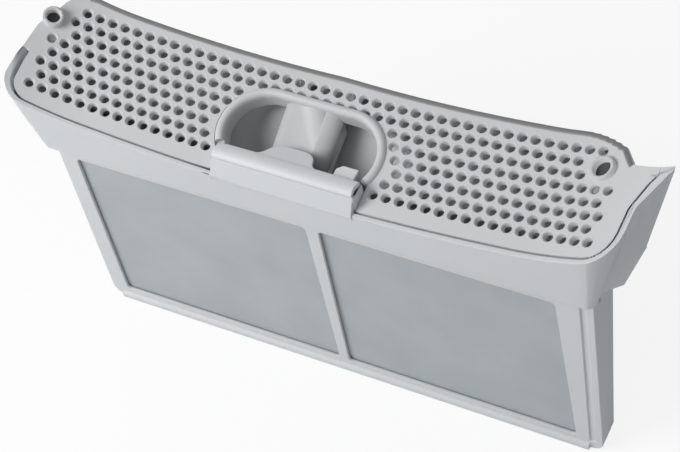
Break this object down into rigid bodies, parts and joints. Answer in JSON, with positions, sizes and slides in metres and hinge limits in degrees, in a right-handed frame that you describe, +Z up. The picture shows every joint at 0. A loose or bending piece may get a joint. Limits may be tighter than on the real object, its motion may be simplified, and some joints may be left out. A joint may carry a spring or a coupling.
{
  "type": "tumble dryer lint filter",
  "caption": "Folding lint filter with a flat mesh pocket, a flared casing, a curved perforated grille with a grip opening, and a sprung thumb latch.",
  "frame": {"origin": "middle of the slot's mouth, level with the underside of the casing's ledge", "axes": "+X along the filter's length to the right, +Y to the back, +Z up out of the slot"},
  "size_m": [0.2658, 0.0549, 0.1623],
  "materials": {
    "front_plastic": "satin moulded plastic, light grey",
    "rear_plastic": "satin moulded plastic, light grey",
    "grille_plastic": "satin moulded plastic, light grey",
    "latch_plastic": "satin moulded plastic, pale grey",
    "gauze": "fine woven monofilament mesh, grey"
  },
  "bodies": {
    "front_half": {"front_shell": "front_plastic", "front_gauze_left": "gauze", "front_gauze_right": "gauze"},
    "rear_half": {"rear_shell": "rear_plastic", "grille": "grille_plastic", "rear_gauze_left": "gauze", "rear_gauze_right": "gauze"},
    "latch": {"latch_bar": "latch_plastic"}
  },
  "joints": [
    {"name": "fold", "type": "hinge", "parent": "front_half", "child": "rear_half", "pos_m": [0, -0.0012, -0.1043], "axis": [-1, 0, 0], "range_deg": [0, 100]},
    {"name": "latch_rock", "type": "hinge", "parent": "front_half", "child": "latch", "pos_m": [0, -0.0115, 0.0195], "axis": [-1, 0, 0], "range_deg": [0, 6], "stiffness_Nm_per_rad": 0.2, "springref_deg": -5.73}
  ]
}
